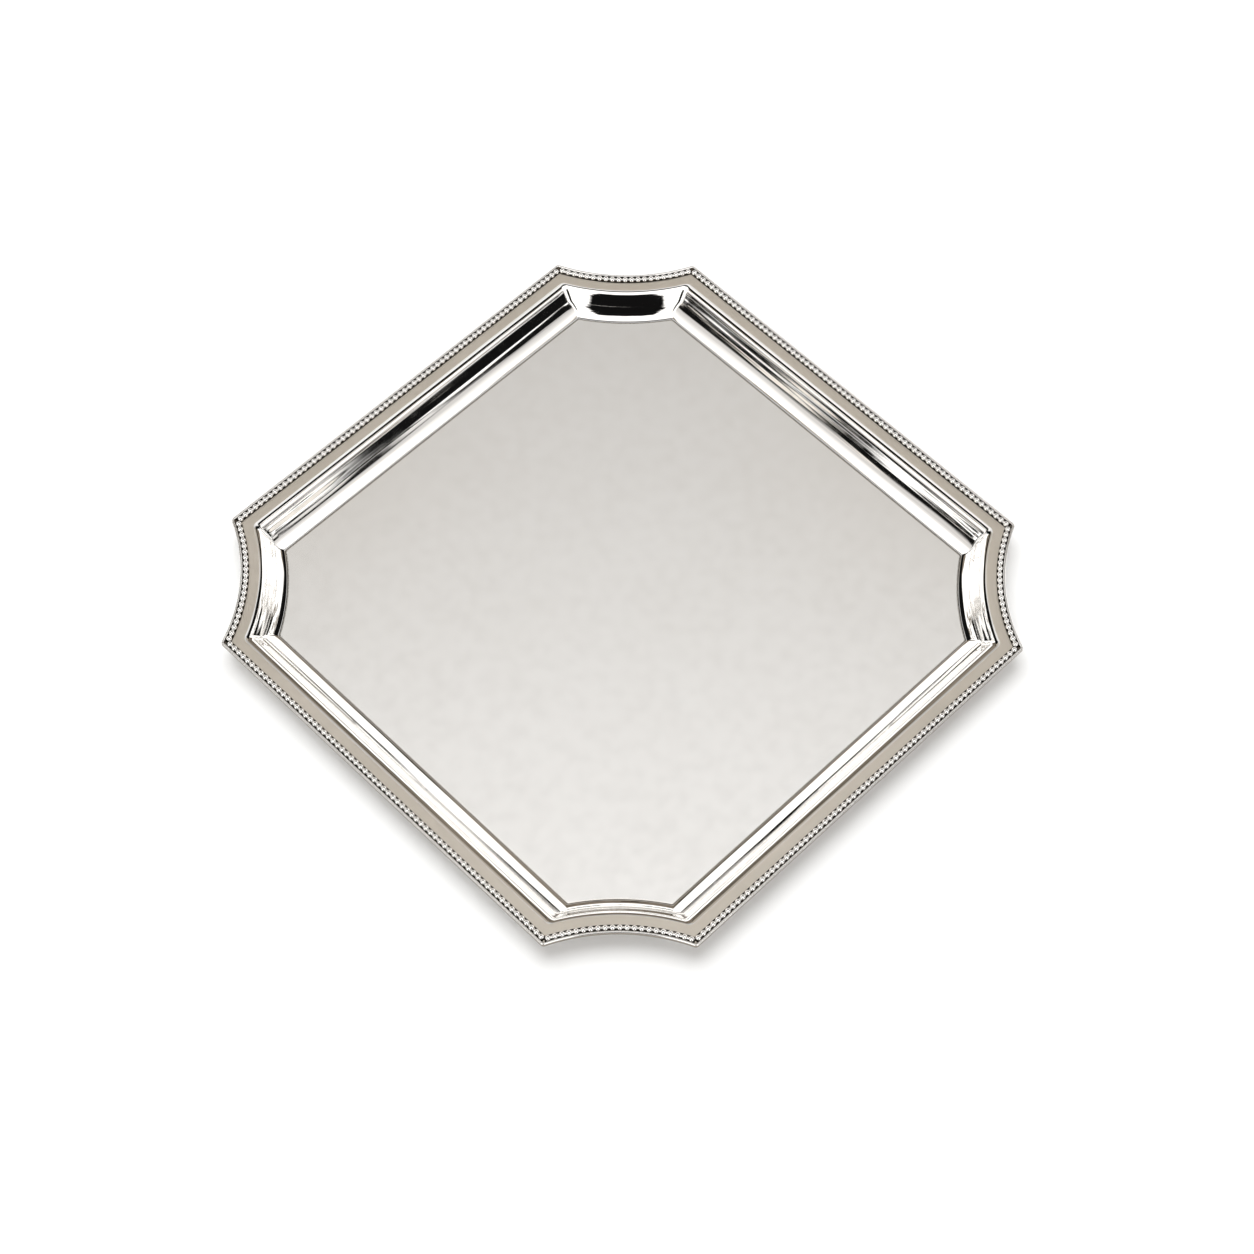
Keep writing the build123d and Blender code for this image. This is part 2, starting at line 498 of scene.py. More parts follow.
@dataclass(frozen=True)
class Station:
    """One line of the pressed sheet's surface, followed right round the salver."""

    side_inset: float
    corner_inset: float
    height: float
    rounding: float
    zone: Zone
    # How far this line is darkened: painted shade in the chased groove, partly tarnished.
    crevice: float = 0.0


@dataclass(frozen=True)
class PressMarks:
    """Faint waves that the press and the polishing wheel leave in the bouge.

    Attributes:
        depth: How far the metal wanders either way.
        length: How long the waves are along the border.
        width: How wide they are, measured as height.
        swell: Depth of the even swell across the wall.
        swell_width: Width of one swell, measured as height.
    """

    depth: float = 0.04 * MM
    length: float = 36.0 * MM
    width: float = 2.2 * MM
    swell: float = 0.01 * MM
    swell_width: float = 2.1 * MM

    def offset(self, point: Point, height: float) -> float:
        """How far the metal stands inwards at a place on the bouge."""
        place = Vector((point[0] / self.length, point[1] / self.length, height / self.width))
        return self.depth * noise.noise(place) + self.swell * sin(2 * pi * height / self.swell_width)


@dataclass
class PressedSheet:
    """The one-piece body: flat satin rim, polished bouge, well and underside."""

    plan: Plan
    rim_height: float
    thickness: float
    edge_inset: float
    flat_end: float
    side_bouge: float = 15.65 * MM
    corner_bouge: float = 12.05 * MM
    side_break: float = 8.1 * MM
    corner_break: float = 6.2 * MM
    break_drop: float = 5.1 * MM
    side_shoulder: float = 7.0 * MM
    corner_shoulder: float = 4.5 * MM
    side_floor_slope: float = radians(25)
    corner_floor_slope: float = radians(12)
    crease_radius: float = 1.4 * MM
    rim_turn: float = 3.2 * MM
    break_turn: float = 2.6 * MM
    well_turn: float = 0.9 * MM
    satin_roll: float = 0.6 * MM
    chased_width: float = 0.75 * MM
    chased_depth: float = 0.14 * MM
    guard: float = 0.06 * MM
    rim_line: float = 2.9 * MM
    chased_steps: int = 8
    crevice_spread: float = 3.0
    well_margin: float = 1.0 * MM
    under_turn: float = 1.0 * MM
    fade_height: float = 1.0 * MM
    marks: PressMarks = field(default_factory=PressMarks)
    steps: RingSteps = field(default_factory=RingSteps)

    def sections(self) -> tuple[Section, Section]:
        """The profile across a straight side and across a corner."""
        sizes = (
            (self.side_bouge, self.side_break, self.side_shoulder, self.side_floor_slope),
            (self.corner_bouge, self.corner_break, self.corner_shoulder, self.corner_floor_slope),
        )
        made = [
            Section(
                self.flat_end, self.rim_height, shoulder,
                (self.flat_end + wall, self.rim_height - self.break_drop),
                (self.flat_end + width, self.thickness), slope, self.crease_radius,
            )
            for width, wall, shoulder, slope in sizes
        ]
        return made[0], made[1]

    def turn_at(self, height: float) -> float:
        """Rounding of the sheet's inner corners, easing from the rim to the well."""
        break_height = self.rim_height - self.break_drop
        if height >= break_height:
            share = (self.rim_height - height) / self.break_drop
            return self.rim_turn + (self.break_turn - self.rim_turn) * share
        share = max(0.0, (height - self.thickness) / (break_height - self.thickness))
        return self.well_turn + (self.break_turn - self.well_turn) * share

    def turn_at_edge(self, inset: float) -> float:
        """Rounding of a line on the flat rim."""
        share = (inset - self.edge_inset) / (self.flat_end - self.edge_inset)
        start = self.plan.point_rounding - self.edge_inset
        return start + (self.rim_turn - start) * share

    def heights(self, sections: tuple[Section, Section], steps: BougeSteps) -> list[float]:
        """Heights at which the bouge gets a line, from the rim down, none of them doubled."""
        wanted = sorted(
            sections[0].key_heights(steps) + sections[1].key_heights(steps), reverse=True,
        )
        found = [wanted[0]]
        for height in wanted[1:]:
            if found[-1] - height > steps.least_drop:
                found.append(height)
        return found

    def top_stations(self) -> list[Station]:
        """Lines of the upper face, from the sheet's edge in to the well."""
        side, corner = self.sections()
        found = [
            Station(inset, inset, self.rim_height, self.turn_at_edge(inset), Zone.SATIN)
            for inset in (self.edge_inset, self.edge_inset + self.rim_line, self.flat_end - self.guard)
        ]
        found.append(Station(self.flat_end, self.flat_end, self.rim_height, self.rim_turn, Zone.SATIN))
        for height in self.heights((side, corner), BougeSteps())[1:]:
            inset = side.inset(height)
            zone = Zone.SATIN if inset < self.flat_end + self.satin_roll else Zone.BOUGE
            found.append(Station(inset, corner.inset(height), height, self.turn_at(height), zone))
        # The chased groove at the crease: its crevice value darkens it to the finish's darker colour,
        # painted shade along the crease, partly tarnished.
        for i in range(self.chased_steps + 1):
            share = i / self.chased_steps
            inset = self.chased_width * share
            dip = sin(pi * share)
            zone = Zone.BOUGE if share < 0.5 else Zone.WELL
            found.append(Station(
                side.crease_end + inset, corner.crease_end + inset,
                self.thickness - self.chased_depth * dip, self.well_turn, zone,
                min(1.0, dip * self.crevice_spread),
            ))
        for extra in (self.guard, self.well_margin):
            inset = self.chased_width + extra
            found.append(Station(side.crease_end + inset, corner.crease_end + inset,
                                 self.thickness, self.well_turn, Zone.WELL))
        return found

    def under_stations(self) -> list[Station]:
        """Lines of the underside, from the well out to the sheet's edge."""
        side, corner = (s.underside(self.thickness) for s in self.sections())
        found = [
            Station(inset, inset, side.rim_height, self.turn_at_edge(inset), Zone.UNDERSIDE)
            for inset in (self.edge_inset, self.flat_end - self.guard)
        ]
        for height in self.heights((side, corner), UNDER_STEPS):
            found.append(Station(side.inset(height), corner.inset(height), height,
                                 max(self.turn_at(height), self.under_turn), Zone.UNDERSIDE))
        for extra in (0.0, self.well_margin):
            found.append(Station(side.crease_end + extra, corner.crease_end + extra, 0.0,
                                 self.under_turn, Zone.UNDERSIDE))
        return list(reversed(found))

    def pressed(self, station: Station, ring: list[Point]) -> list[Point]:
        """A line of the bouge with its faint press marks."""
        if station.zone is not Zone.BOUGE or station.crevice:
            return ring
        fade = min(1.0, (station.height - self.thickness) / self.fade_height)
        found = []
        for i, (x, y) in enumerate(ring):
            before, after = ring[i - 1], ring[(i + 1) % len(ring)]
            along = Vector((after[0] - before[0], after[1] - before[1])).normalized()
            reach = fade * self.marks.offset((x, y), station.height)
            found.append((x - along.y * reach, y + along.x * reach))
        return found

    def build(self, materials: dict[Zone, bpy.types.Material]) -> bpy.types.Object:
        """Make the closed mesh of the sheet.

        Args:
            materials: The finish of each zone.

        Returns:
            The finished object.
        """
        mesh = bmesh.new()
        crevice = mesh.verts.layers.float.new("crevice")
        stations = self.top_stations() + self.under_stations()
        rings = []
        for station in stations:
            ring = []
            line = self.plan.ring(
                station.side_inset, station.corner_inset, station.rounding, self.steps,
            )
            for x, y in self.pressed(station, line):
                vertex = mesh.verts.new((x, y, station.height))
                vertex[crevice] = station.crevice
                ring.append(vertex)
            rings.append(ring)
        count = len(rings[0])
        closed = list(range(len(rings))) + [0]
        for row, (low, high) in enumerate(zip(closed, closed[1:])):
            if stations[low].zone is Zone.WELL and stations[high].zone is Zone.UNDERSIDE:
                continue
            for i in range(count):
                j = (i + 1) % count
                face = mesh.faces.new((rings[low][i], rings[low][j], rings[high][j], rings[high][i]))
                face.smooth = True
                face.material_index = stations[high if row < len(rings) - 1 else low].zone.value
        last_top = max(i for i, s in enumerate(stations) if s.zone is Zone.WELL)
        caps = ((rings[last_top], Zone.WELL, 1), (rings[last_top + 1], Zone.UNDERSIDE, -1))
        for ring, zone, turn in caps:
            face = mesh.faces.new(ring[::turn])
            face.material_index = zone.value
        piece = to_object(mesh, "pressed_sheet")
        for zone in Zone:
            piece.data.materials.append(materials[zone])
        return piece


def add_object(name: str, data: bpy.types.ID) -> bpy.types.Object:
    """Put a mesh, a light or a camera into the scene."""
    piece = bpy.data.objects.new(name, data)
    bpy.context.scene.collection.objects.link(piece)
    return piece


def to_object(mesh: bmesh.types.BMesh, name: str) -> bpy.types.Object:
    """Turn a bmesh into an object and free it."""
    bmesh.ops.recalc_face_normals(mesh, faces=mesh.faces[:])
    data = bpy.data.meshes.new(name)
    mesh.to_mesh(data)
    mesh.free()
    return add_object(name, data)


@dataclass
class WireRun:
    """A path that a length of border wire follows, from joint to joint."""

    plan: Plan
    inset: float
    rounding: float
    arc_steps: int = 24
    turn_steps: int = 7

    def side(self, turns: int) -> list[Point]:
        """The path along a straight side, to the middle of the turn at each end."""
        centre, start, end = self.plan.joint(self.inset, self.inset, self.rounding)
        half = [(self.plan.half_width - self.inset, 0.0)]
        for i in range(self.turn_steps + 1):
            angle = start + (end - start) / 2 * i / self.turn_steps
            half.append(on_arc(centre, self.rounding, angle))
        path = [(x, -y) for x, y in reversed(half[1:])] + half
        return [turned(p, turns) for p in path]

    def corner(self, turns: int) -> list[Point]:
        """The path around an incurved corner, to the middle of the turn at each end."""
        centre, start, end = self.plan.joint(self.inset, self.inset, self.rounding)
        arc_centre = (self.plan.arc_centre, self.plan.arc_centre)
        radius = self.plan.arc_radius + self.inset
        half = []
        for i in range(self.turn_steps):
            angle = (start + end) / 2 + (end - start) / 2 * i / self.turn_steps
            half.append(on_arc(centre, self.rounding, angle))
        for i in range(self.arc_steps + 1):
            angle = pi + end + (radians(45) - end) * i / self.arc_steps
            half.append(on_arc(arc_centre, radius, angle))
        path = half + [(y, x) for x, y in reversed(half[:-1])]
        return [turned(p, turns) for p in path]

    def paths(self, wire: str) -> dict[str, list[Point]]:
        """The eight lengths' paths, by the node that each stands for."""
        found = {f"{wire}_{s.name.lower()}": self.side(s.value) for s in Side}
        return found | {f"corner_{wire}_{c.name.lower()}": self.corner(c.value) for c in Corner}


def path_object(points: Sequence[Point], height: float, name: str) -> bpy.types.Object:
    """A mesh of bare edges along a path, for a Geometry Nodes tree to work on."""
    data = bpy.data.meshes.new(name)
    corners = [(x, y, height) for x, y in points]
    data.from_pydata(corners, [(i, i + 1) for i in range(len(corners) - 1)], [])
    return add_object(name, data)


def run_tree(piece: bpy.types.Object, tree: bpy.types.NodeTree, values: dict[str, object]) -> None:
    """Run a Geometry Nodes tree on an object and keep its result as a plain mesh.

    Args:
        piece: The object, which keeps its name.
        tree: The tree.
        values: The tree's inputs by name.
    """
    modifier = piece.modifiers.new(tree.name, "NODES")
    modifier.node_group = tree
    for item in tree.interface.items_tree:
        if item.item_type == "SOCKET" and item.in_out == "INPUT" and item.name in values:
            modifier[item.identifier] = values[item.name]
    piece.update_tag()
    graph = bpy.context.evaluated_depsgraph_get()
    result = bpy.data.meshes.new_from_object(piece.evaluated_get(graph), depsgraph=graph)
    piece.modifiers.remove(modifier)
    piece.data = result


def new_tree(name: str,
             inputs: Sequence[tuple[str, str]]) -> tuple[Graph, bpy.types.Node, bpy.types.Node]:
    """Start a Geometry Nodes tree.

    Args:
        name: The tree's name.
        inputs: Name and socket kind of each input after the geometry.

    Returns:
        The graph, its input node and its output node.
    """
    tree = bpy.data.node_groups.new(name, "GeometryNodeTree")
    tree.interface.new_socket("Geometry", in_out="OUTPUT", socket_type="NodeSocketGeometry")
    tree.interface.new_socket("Geometry", in_out="INPUT", socket_type="NodeSocketGeometry")
    for label, kind in inputs:
        tree.interface.new_socket(label, in_out="INPUT", socket_type=kind)
    graph = Graph(tree)
    return graph, graph.add("NodeGroupInput"), graph.add("NodeGroupOutput")


WIRE_ROUNDING_STEPS = 5
PEARL_SEGMENTS = 14
PEARL_RINGS = 9
PEARL_BURIED = -0.3
NECK_SIDES = 16


def sweep(graph: Graph, curve: object, profile: object) -> bpy.types.NodeSocket:
    """A closed mesh of a profile drawn along a curve."""
    return graph.shape(
        "GeometryNodeCurveToMesh", {"Curve": curve, "Profile Curve": profile, "Fill Caps": True}
    )


def finished(graph: Graph, geometry: object, material: object) -> bpy.types.NodeSocket:
    """Geometry with a material on all of it."""
    return graph.shape("GeometryNodeSetMaterial", {"Geometry": geometry, "Material": material})


def wire_tree() -> bpy.types.NodeTree:
    """The tree that draws a wire of rounded rectangular section along a path."""
    sizes = [(n, "NodeSocketFloat") for n in ("Width", "Height", "Rounding")]
    graph, given, out = new_tree("Edge wire along a path", sizes + [("Finish", "NodeSocketMaterial")])
    get = given.outputs
    curve = graph.shape("GeometryNodeMeshToCurve", {"Mesh": get["Geometry"]})
    upright = graph.shape("GeometryNodeSetCurveNormal", {"Curve": curve}, mode="Z_UP")
    outline = graph.shape(
        "GeometryNodeCurvePrimitiveQuadrilateral", {"Width": get["Width"], "Height": get["Height"]}
    )
    rounded = graph.shape(
        "GeometryNodeFilletCurve",
        {"Curve": outline, "Radius": get["Rounding"], "Count": WIRE_ROUNDING_STEPS}, mode="POLY",
    )
    shaded = graph.shape("GeometryNodeSetShadeSmooth", {"Geometry": sweep(graph, upright, rounded)})
    real = graph.shape("GeometryNodeRealizeInstances", {"Geometry": shaded})
    graph.set(out.inputs["Geometry"], finished(graph, real, get["Finish"]))
    return graph.tree


def pearl_tree() -> bpy.types.NodeTree:
    """The tree that draws a strip along a path and seats pearls on it, joined by a neck."""
    floats = (
        "Strip Width", "Strip Thickness", "End Margin", "Pearl Radius", "Pearl Height", "Neck Radius",
    )
    inputs = [(n, "NodeSocketFloat") for n in floats] + [("Pearls", "NodeSocketInt")]
    inputs += [(n, "NodeSocketMaterial") for n in ("Finish", "Strip Finish")]
    graph, given, out = new_tree("Pearls along a path", inputs)
    get = given.outputs
    curve = graph.shape("GeometryNodeMeshToCurve", {"Mesh": get["Geometry"]})
    upright = graph.shape("GeometryNodeSetCurveNormal", {"Curve": curve}, mode="Z_UP")
    outline = graph.shape(
        "GeometryNodeCurvePrimitiveQuadrilateral",
        {"Width": get["Strip Width"], "Height": get["Strip Thickness"]},
    )
    # The strip takes a nearly black material: painted shade in the gaps between the pearls.
    strip = finished(graph, sweep(graph, upright, outline), get["Strip Finish"])

    length = graph.shape("GeometryNodeCurveLength", {"Curve": curve})
    end = graph.math("SUBTRACT", length, get["End Margin"])
    # Inputs 4 and 5 are the start and the end as lengths.
    trimmed = graph.shape(
        "GeometryNodeTrimCurve", {"Curve": curve, 4: get["End Margin"], 5: end}, mode="LENGTH"
    )
    lift = graph.shape("ShaderNodeCombineXYZ", {2: get["Pearl Height"]})
    waist = graph.shape(
        "GeometryNodeCurvePrimitiveCircle", {"Resolution": NECK_SIDES, "Radius": get["Neck Radius"]}
    )
    neck = graph.shape("GeometryNodeSetShadeSmooth", {"Geometry": sweep(graph, trimmed, waist)})
    raised = graph.shape("GeometryNodeTransform", {"Geometry": neck, "Translation": lift})
    neck_dressed = finished(graph, raised, get["Finish"])

    ball = graph.shape("GeometryNodeMeshUVSphere", {
        "Segments": PEARL_SEGMENTS, "Rings": PEARL_RINGS, "Radius": get["Pearl Radius"],
    })
    position = graph.shape("GeometryNodeInputPosition")
    height = graph.add("ShaderNodeSeparateXYZ", {0: position}).outputs["Z"]
    low = graph.math("MULTIPLY", get["Pearl Radius"], PEARL_BURIED)
    buried = graph.shape(
        "FunctionNodeCompare", {0: height, 1: low}, data_type="FLOAT", operation="LESS_THAN"
    )
    dome = graph.shape(
        "GeometryNodeDeleteGeometry", {"Geometry": ball, "Selection": buried}, domain="POINT"
    )
    smooth = graph.shape("GeometryNodeSetShadeSmooth", {"Geometry": dome})
    seats = graph.shape("GeometryNodeResampleCurve", {"Curve": trimmed, "Count": get["Pearls"]})
    seated = graph.shape("GeometryNodeInstanceOnPoints", {"Points": seats, "Instance": smooth})
    lifted = graph.shape(
        "GeometryNodeTranslateInstances", {"Instances": seated, "Translation": lift}
    )
    real = graph.shape("GeometryNodeRealizeInstances", {"Geometry": lifted})
    joined = graph.add("GeometryNodeJoinGeometry")
    for part in (strip, neck_dressed, finished(graph, real, get["Finish"])):
        graph.set(joined.inputs[0], part)
    graph.set(out.inputs["Geometry"], joined.outputs[0])
    return graph.tree


@dataclass
class EdgeWire:
    """The plain wire soldered around the sheet's edge, in eight lengths."""

    plan: Plan
    width: float
    bottom: float
    top: float
    rounding: float = 0.5 * MM

    def build(self, finish: bpy.types.Material) -> dict[str, bpy.types.Object]:
        """Draw all eight lengths.

        Args:
            finish: The wire's material.

        Returns:
            Each length by the node that it stands for.
        """
        tree = wire_tree()
        run = WireRun(self.plan, self.width / 2, self.plan.point_rounding - self.width / 2)
        height = self.top - self.bottom
        values = {"Width": self.width, "Height": height, "Rounding": self.rounding, "Finish": finish}
        made = {}
        for node, path in run.paths("edge_wire").items():
            piece = path_object(path, (self.top + self.bottom) / 2, f"plain_{node}")
            run_tree(piece, tree, values)
            made[node] = piece
        return made


@dataclass
class PearlWire:
    """The row of pearls inside the edge wire, in eight mitred lengths."""

    plan: Plan
    inset: float
    strip_width: float
    rim_height: float
    pearl_diameter: float = 2.8 * MM
    pearl_gap: float = 0.16 * MM
    centre_height: float = 0.35 * MM
    strip_thickness: float = 0.45 * MM
    joint_margin: float = 0.06 * MM
    neck_radius: float = 0.75 * MM
    point_rounding: float = 0.0001 * MM

    def build(self, finish: bpy.types.Material,
              strip_shade: bpy.types.Material) -> dict[str, bpy.types.Object]:
        """Draw all eight lengths.

        Args:
            finish: The pearls' material.
            strip_shade: The nearly black material of the strip between and beside them: painted shade
                in the gaps between pearls, on a tarnished strip.

        Returns:
            Each length by the node that it stands for.
        """
        tree = pearl_tree()
        run = WireRun(self.plan, self.inset, self.point_rounding, turn_steps=1)
        margin = self.pearl_diameter / 2 / sin(self.plan.half_point) + self.joint_margin
        made = {}
        for node, path in run.paths("pearl_wire").items():
            length = sum(hypot(b[0] - a[0], b[1] - a[1]) for a, b in zip(path, path[1:]))
            gaps = floor((length - 2 * margin) / (self.pearl_diameter + self.pearl_gap))
            piece = path_object(path, self.rim_height + self.strip_thickness / 2, f"pearled_{node}")
            run_tree(piece, tree, {
                "Strip Width": self.strip_width, "Strip Thickness": self.strip_thickness,
                "End Margin": margin, "Pearl Radius": self.pearl_diameter / 2,
                "Pearl Height": self.centre_height - self.strip_thickness / 2,
                "Neck Radius": self.neck_radius, "Pearls": gaps + 1,
                "Finish": finish, "Strip Finish": strip_shade,
            })
            made[node] = piece
        return made


@dataclass(frozen=True)
class Card:
    """A screen or a dark gap of the studio, seen only in reflections.

    Attributes:
        azimuth: Degrees from the camera's side, positive to the camera's right.
        elevation: Degrees above the surface.
        colour: What it sends back.
        softness: Half the width of its edge in degrees.
        raggedness: How far its edge wanders in degrees.
        streaks: Values of the room's level streaks between which it sets in, or None.
    """

    azimuth: tuple[float, float]
    elevation: tuple[float, float]
    colour: Colour
    softness: float = 2.0
    raggedness: float = 4.0
    streaks: tuple[float, float] | None = None


MANY = (0.43, 0.50)
SOME = (0.52, 0.57)
FEW = (0.58, 0.62)
BLACK = (0.006, 0.006, 0.006)
BROWN = (0.05, 0.038, 0.028)
UMBER = (0.26, 0.22, 0.175)
BEIGE = (0.47, 0.42, 0.355)
GREY = (0.72, 0.70, 0.68)
CREAM = (0.98, 0.93, 0.86)
WHITE = (1.0, 0.995, 0.985)
BRIGHT = (1.38, 1.37, 1.35)


def pair(card: Card) -> tuple[Card, Card]:
    """A card and its mirror image on the camera's left."""
    low, high = card.azimuth
    return card, replace(card, azimuth=(-high, -low))


@dataclass
class Studio:
    """Pale floor, soft light, reflected cards and the camera."""

    rim_height: float
    half_width: float
    floor_size: float = 8.0
    azimuth: float = radians(-44.904)
    elevation: float = radians(59.523)
    roll: float = radians(0.316)
    aim: tuple[float, float] = (-0.09647, -0.11623)
    distance: float = 9.1017
    lens: float = 87.35
    fill: float = 0.66
    fill_colour: Colour = (1.0, 0.98, 0.95)
    key_energy: float = 2.0
    key_elevation: float = radians(67)
    key_turn: float = radians(20)
    key_spread: float = radians(56)
    far_ramp: tuple[float, float] = (42.5, 66.5)
    far_dark: Colour = (0.30, 0.28, 0.255)
    overhead_gap: tuple[float, float] = (96.0, 106.0)
    overhead_softness: float = 0.8
    far_edge: tuple[float, float] = (112.0, 140.0)
    bright_edge: tuple[float, float] = (38.0, 43.0)
    streak_size: tuple[float, float] = (4.5, 3.4)
    ragged_scale: float = 9.0
    floor_mottle: tuple[Colour, Colour] = ((0.93, 0.93, 0.93), (0.95, 0.95, 0.95))
    key_colour: Colour = (0.975, 0.99, 1.0)
    sensor: float = 36.0
    view_depth: float = 50.0
    cards: tuple[Card, ...] = (
        Card((-17, 17), (-12, 60), BLACK, 1.0, 8.0),
        *pair(Card((158, 180), (72, 81), BLACK, 1.0, 2.0)),
        *pair(Card((66, 88), (42, 52), GREY, 4.0, 2.0)),
        *pair(Card((88, 120), (57, 69), UMBER, 1.5, 4.0, MANY)),
        Card((55, 86), (6, 46), BROWN, 1.5, 5.0, SOME),
        Card((66, 86), (6, 31), BLACK, 1.0, 5.0),
        Card((55, 86), (6, 46), BLACK, 1.0, 5.0, MANY),
        Card((60, 86), (20, 40), CREAM, 1.0, 5.0, FEW),
        Card((-86, -68), (29, 45), BLACK, 1.0, 5.0),
        Card((-86, -55), (6, 40), BLACK, 1.0, 5.0, MANY),
        Card((-80, -55), (6, 48), CREAM, 1.0, 5.0, FEW),
        *pair(Card((140, 172), (43, 56), BEIGE, 2.5, 3.0)),
        *pair(Card((140, 180), (18, 44), UMBER, 1.0, 2.0)),
        *pair(Card((140, 180), (18, 44), BLACK, 1.0, 2.0, SOME)),
        *pair(Card((140, 180), (0.6, 4.5), BLACK, 0.4, 1.0, MANY)),
        *pair(Card((104, 122), (16, 46), UMBER, 1.5, 9.0, SOME)),
        *pair(Card((95, 113), (1, 14), BLACK, 1.0, 6.0)),
        *pair(Card((112, 122), (2, 20), UMBER, 2.5, 6.0, SOME)),
        *pair(Card((112, 158), (41, 60), BLACK, 1.0, 5.0)),
    )

    def build(self) -> None:
        """Make the floor, the lights, the world and the camera."""
        self.floor()
        self.world()
        self.key_light()
        self.camera()

    def floor(self) -> None:
        """A wide pale surface under the salver."""
        mesh = bmesh.new()
        bmesh.ops.create_grid(mesh, x_segments=2, y_segments=2, size=self.floor_size / 2)
        piece = to_object(mesh, "floor")
        material, graph, shader = node_material("pale floor")
        place = graph.add("ShaderNodeTexCoord").outputs["Object"]
        mottle = SilverFinish.noise(graph, place, 30.0, detail=4.0)
        dark, light = (rgba(colour) for colour in self.floor_mottle)
        graph.set(shader.inputs["Base Color"], graph.mix(mottle, dark, light))
        shader.inputs["Roughness"].default_value = 0.9
        shader.inputs["Specular IOR Level"].default_value = 0.0
        piece.data.materials.append(material)

    def world(self) -> None:
        """A white room with screens and dark gaps that polished silver can reflect."""
        world = bpy.data.worlds.new("studio")
        world.use_nodes = True
        bpy.context.scene.world = world
        graph = Graph(world.node_tree)
        direction = graph.add("ShaderNodeTexCoord").outputs["Generated"]
        split = graph.add("ShaderNodeSeparateXYZ", {"Vector": direction})
        x, y, z = (split.outputs[i] for i in range(3))
        back = (sin(self.azimuth), -cos(self.azimuth))
        ahead = graph.math(
            "ADD", graph.math("MULTIPLY", x, back[0]), graph.math("MULTIPLY", y, back[1])
        )
        right = graph.math(
            "ADD", graph.math("MULTIPLY", x, -back[1]), graph.math("MULTIPLY", y, back[0])
        )
        azimuth = graph.math("DEGREES", graph.math("ARCTAN2", right, ahead))
        elevation = graph.math("DEGREES", graph.math("ARCSINE", z))
        tilt = graph.math("DEGREES", graph.math("ARCTAN2", z, ahead))
        around = graph.math("ABSOLUTE", azimuth)
        wander = SilverFinish.noise(graph, direction, self.ragged_scale, detail=4.0)
        ragged = graph.math("SUBTRACT", wander, 0.5)
        level = graph.shape("ShaderNodeCombineXYZ", {
            0: graph.math("DIVIDE", azimuth, self.streak_size[0]),
            1: graph.math("DIVIDE", elevation, self.streak_size[1]),
        })
        streaks = SilverFinish.noise(graph, level, 1.0, detail=1.5)
        far = graph.smooth(around, *self.far_edge)
        climb = graph.add("ShaderNodeMapRange", {
            "Value": elevation, "From Min": self.far_ramp[0], "From Max": self.far_ramp[1],
        }).outputs["Result"]
        raised = graph.smooth(elevation, *self.bright_edge)
        colour = graph.mix(
            graph.math("MULTIPLY", far, raised), rgba(BRIGHT),
            graph.mix(climb, rgba(self.far_dark), rgba(WHITE)),
        )
        for card in self.cards:
            shift = graph.math("MULTIPLY", ragged, card.raggedness)
            mask = graph.math(
                "MULTIPLY",
                self.window(graph, graph.math("ADD", azimuth, shift), card.azimuth, card.softness),
                self.window(graph, graph.math("ADD", elevation, shift), card.elevation, card.softness),
            )
            if card.streaks:
                mask = graph.math("MULTIPLY", mask, graph.smooth(streaks, *card.streaks))
            colour = graph.mix(mask, colour, rgba(card.colour))
        overhead = self.window(graph, tilt, self.overhead_gap, self.overhead_softness)
        colour = graph.mix(overhead, colour, rgba(BLACK))
        rays = graph.add("ShaderNodeLightPath").outputs
        colour = graph.mix(rays["Is Camera Ray"], colour, rgba((1.0, 1.0, 1.0)))
        colour = graph.mix(rays["Is Diffuse Ray"], colour, rgba(self.fill_colour))
        strength = graph.math("MULTIPLY_ADD", rays["Is Diffuse Ray"], self.fill - 1.0, 1.0)
        background = world.node_tree.nodes["Background"]
        graph.set(background.inputs["Color"], colour)
        graph.set(background.inputs["Strength"], strength)

    @staticmethod
    def window(graph: Graph, value: object, span: tuple[float, float],
               soft: float) -> bpy.types.NodeSocket:
        """One inside a span and nothing outside it, with soft edges."""
        # An edge straight behind is moved out of reach, so that two cards meet there unseen.
        low, high = (edge if abs(edge) < 180 else edge * 2 for edge in span)
        rise = graph.smooth(value, low - soft, low + soft)
        fall = graph.smooth(value, high - soft, high + soft, 1.0, 0.0)
        return graph.math("MULTIPLY", rise, fall)

    def key_light(self) -> None:
        """A wide soft light high above the far side, which the silver does not mirror."""
        light = bpy.data.lights.new("key", "SUN")
        light.energy = self.key_energy
        light.angle = self.key_spread
        light.color = self.key_colour
        lamp = add_object("key", light)
        ahead = Vector((-sin(self.azimuth), cos(self.azimuth), 0.0))
        left = Vector((-ahead.y, ahead.x, 0.0))
        level = ahead * cos(self.key_turn) + left * sin(self.key_turn)
        towards = level * cos(self.key_elevation) + Vector((0.0, 0.0, sin(self.key_elevation)))
        lamp.location = towards
        lamp.rotation_euler = towards.to_track_quat("Z", "Y").to_euler()
        lamp.visible_glossy = False

    def camera(self) -> None:
        """The camera, looking down along the salver's diagonal."""
        camera = bpy.data.cameras.new("camera")
        camera.lens = self.lens
        camera.sensor_width = self.sensor
        eye = add_object("camera", camera)
        backwards = Vector((
            cos(self.elevation) * sin(self.azimuth), -cos(self.elevation) * cos(self.azimuth),
            sin(self.elevation),
        ))
        target = Vector((self.aim[0] * self.half_width, self.aim[1] * self.half_width, self.rim_height))
        eye.location = target + backwards * self.distance * self.half_width
        turn = backwards.to_track_quat("Z", "Y").to_matrix() @ Matrix.Rotation(self.roll, 3, "Z")
        eye.rotation_euler = turn.to_euler()
        camera.clip_end = self.view_depth
        bpy.context.scene.camera = eye


